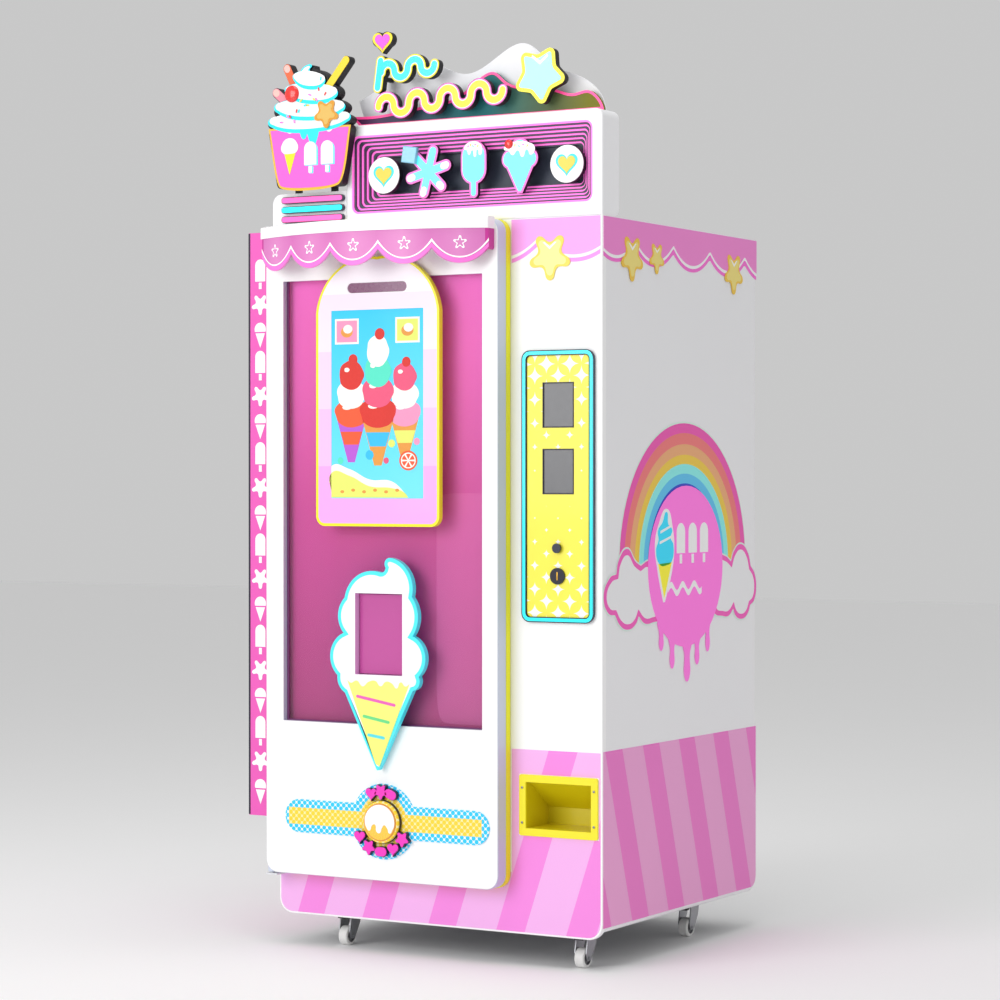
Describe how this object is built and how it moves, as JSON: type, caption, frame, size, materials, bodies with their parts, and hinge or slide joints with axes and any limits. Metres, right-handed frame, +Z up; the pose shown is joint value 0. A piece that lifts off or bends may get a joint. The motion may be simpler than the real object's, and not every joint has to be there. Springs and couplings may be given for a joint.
{
  "type": "soft serve vending machine",
  "caption": "Upright soft serve vending cabinet on casters with a hinged front door, touch screen, cone-shaped cup port, bowed awning, payment panel and a sign box on top.",
  "frame": {"origin": "on the floor under the middle of the whole machine's bounding box", "axes": "+X to the right as the customer faces it, +Y from the customer to the back, +Z up"},
  "size_m": [1.059, 1.0949, 2.357],
  "materials": {
    "zinc": "zinc-plated sheet",
    "cabinet_front": "white powder coat with pink printed film at both ends",
    "cabinet_white": "satin white powder coat",
    "inner_pink": "pale pink powder coat",
    "header_white": "satin white",
    "slate_plastic": "dark slate, stepped",
    "neon_plastic": "milky light strips in pink and cyan",
    "icon_plastic": "cyan and white faced, pink rimmed",
    "sign_pink": "printed foam-board sundae sign",
    "sign_pastel": "pastel printed board",
    "sign_star": "light cyan with a yellow rim",
    "frosted_white": "frosted white sheet",
    "wave_print": "purple to teal gradient with a pink edge",
    "pink_print": "printed pink film",
    "cyan_plastic": "cyan moulding",
    "yellow_plate": "yellow with white sparkles",
    "black_module": "dark reader windows",
    "yellow_plastic": "yellow moulding",
    "steel": "brushed",
    "stainless": "food-grade stainless",
    "motor_grey": "grey gear housing",
    "white_plastic": "white moulding",
    "black_paint": "black enamel",
    "fin_aluminium": "fins and shroud",
    "door_white": "white gloss front, grey-blue sides",
    "yellow_trim": "yellow trim band",
    "clear_pane": "clear with a pink cast",
    "magenta_print": "magenta to pink printed sheet",
    "lilac_plastic": "lilac",
    "awning_paint": "pink and white printed metal",
    "screen_print": "white to pink bands",
    "display_glass": "lit picture under cover glass",
    "cone_plastic": "white swirl over a light yellow wafer, cyan rim",
    "badge_plastic": "yellow with a cyan dotted edge",
    "flap_plastic": "smoky pink",
    "black_plastic": "black nylon",
    "chrome_trim": "plated lock",
    "caster_tread": "white tyre with a grey hub"
  },
  "bodies": {
    "cabinet": {"base_frame": "zinc", "front_panel": "cabinet_front", "left_side_panel": "cabinet_white", "right_side_panel": "cabinet_white", "top_panel": "cabinet_white", "rear_frame": "cabinet_white", "bulkhead": "inner_pink", "header_housing": "header_white", "header_tunnel": "slate_plastic", "neon_lines": "neon_plastic", "header_icons": "icon_plastic", "cup_sign": "sign_pink", "top_signs": "sign_pastel", "star_sign": "sign_star", "cloud_board": "frosted_white", "wave_board": "wave_print", "wing_board": "pink_print", "payment_ring": "cyan_plastic", "payment_plate": "yellow_plate", "payment_modules": "black_module", "tray": "yellow_plastic", "hinge_brackets": "steel", "caster_plates": "zinc", "freezing_cylinder": "stainless", "beater_drive": "motor_grey", "mix_hopper": "stainless", "dispense_head": "white_plastic", "compressor": "black_paint", "condenser": "fin_aluminium", "control_box": "zinc", "carriage_rails": "stainless"},
    "front_door": {"door_shell": "door_white", "door_trim": "yellow_trim", "window_pane": "clear_pane", "door_backdrop": "magenta_print", "port_sleeve": "lilac_plastic", "awning_bar": "awning_paint", "awning_valance": "awning_paint", "screen_tub": "yellow_plastic", "screen_face": "screen_print", "display_panel": "display_glass", "cone_frame": "cone_plastic", "badge": "badge_plastic"},
    "pickup_flap_body": {"pickup_flap": "flap_plastic"},
    "rear_door_body": {"rear_door": "cabinet_white"},
    "rear_handle_body": {"rear_handle": "black_plastic"},
    "button_body": {"return_button": "steel"},
    "lock_body": {"lock_cylinder": "chrome_trim"},
    "beater_body": {"beater": "stainless"},
    "valve_body": {"draw_valve": "white_plastic"},
    "fan_body": {"fan_rotor": "black_plastic"},
    "carriage_body": {"cup_carriage": "white_plastic"},
    "swivel_front_left": {"caster_fork_front_left": "zinc"},
    "wheel_front_left": {"caster_wheel_front_left": "caster_tread"},
    "swivel_front_right": {"caster_fork_front_right": "zinc"},
    "wheel_front_right": {"caster_wheel_front_right": "caster_tread"},
    "swivel_rear_left": {"caster_fork_rear_left": "zinc"},
    "wheel_rear_left": {"caster_wheel_rear_left": "caster_tread"},
    "swivel_rear_right": {"caster_fork_rear_right": "zinc"},
    "wheel_rear_right": {"caster_wheel_rear_right": "caster_tread"}
  },
  "joints": [
    {"name": "door_hinge", "type": "hinge", "parent": "cabinet", "child": "front_door", "pos_m": [-0.4185, -0.4125, 1.027], "axis": [0, 0, -1], "range_deg": [0, 110]},
    {"name": "pickup_flap_hinge", "type": "hinge", "parent": "front_door", "child": "pickup_flap_body", "pos_m": [-0.067, -0.428, 0.9185], "axis": [1, 0, 0], "range_deg": [0, 85]},
    {"name": "rear_door_hinge", "type": "hinge", "parent": "cabinet", "child": "rear_door_body", "pos_m": [0.4695, 0.5255, 0.9865], "axis": [0, 0, -1], "range_deg": [0, 120]},
    {"name": "rear_handle_turn", "type": "hinge", "parent": "rear_door_body", "child": "rear_handle_body", "pos_m": [-0.3155, 0.5175, 0.9865], "axis": [0, -1, 0], "range_deg": [0, 90]},
    {"name": "return_button_press", "type": "slide", "parent": "cabinet", "child": "button_body", "axis": [0, 1, 0], "range_m": [0, 0.004], "stiffness_N_per_m": 400, "springref_m": -0.002},
    {"name": "lock_turn", "type": "hinge", "parent": "cabinet", "child": "lock_body", "pos_m": [0.4075, -0.3625, 0.973], "axis": [0, 1, 0], "range_deg": [0, 90]},
    {"name": "beater_spin", "type": "hinge", "parent": "cabinet", "child": "beater_body", "pos_m": [-0.067, 0.0075, 0.897], "axis": [0, 1, 0], "continuous": true},
    {"name": "draw_valve_lift", "type": "slide", "parent": "cabinet", "child": "valve_body", "axis": [0, 0, 1], "range_m": [0, 0.024]},
    {"name": "fan_spin", "type": "hinge", "parent": "cabinet", "child": "fan_body", "pos_m": [-0.1405, 0.4155, 0.3], "axis": [0, 1, 0], "continuous": true},
    {"name": "carriage_slide", "type": "slide", "parent": "cabinet", "child": "carriage_body", "axis": [0, 1, 0], "range_m": [0, 0.095]},
    {"name": "swivel_front_left_turn", "type": "hinge", "parent": "cabinet", "child": "swivel_front_left", "pos_m": [-0.2525, -0.2945, 0.08], "axis": [0, 0, 1], "continuous": true},
    {"name": "wheel_front_left_roll", "type": "hinge", "parent": "swivel_front_left", "child": "wheel_front_left", "pos_m": [-0.2525, -0.3105, 0.025], "axis": [1, 0, 0], "continuous": true},
    {"name": "swivel_front_right_turn", "type": "hinge", "parent": "cabinet", "child": "swivel_front_right", "pos_m": [0.4475, -0.2945, 0.08], "axis": [0, 0, 1], "continuous": true},
    {"name": "wheel_front_right_roll", "type": "hinge", "parent": "swivel_front_right", "child": "wheel_front_right", "pos_m": [0.4475, -0.3105, 0.025], "axis": [1, 0, 0], "continuous": true},
    {"name": "swivel_rear_left_turn", "type": "hinge", "parent": "cabinet", "child": "swivel_rear_left", "pos_m": [-0.2525, 0.2755, 0.08], "axis": [0, 0, 1], "continuous": true},
    {"name": "wheel_rear_left_roll", "type": "hinge", "parent": "swivel_rear_left", "child": "wheel_rear_left", "pos_m": [-0.2525, 0.2595, 0.025], "axis": [1, 0, 0], "continuous": true},
    {"name": "swivel_rear_right_turn", "type": "hinge", "parent": "cabinet", "child": "swivel_rear_right", "pos_m": [0.4475, 0.2755, 0.08], "axis": [0, 0, 1], "continuous": true},
    {"name": "wheel_rear_right_roll", "type": "hinge", "parent": "swivel_rear_right", "child": "wheel_rear_right", "pos_m": [0.4475, 0.2595, 0.025], "axis": [1, 0, 0], "continuous": true}
  ]
}
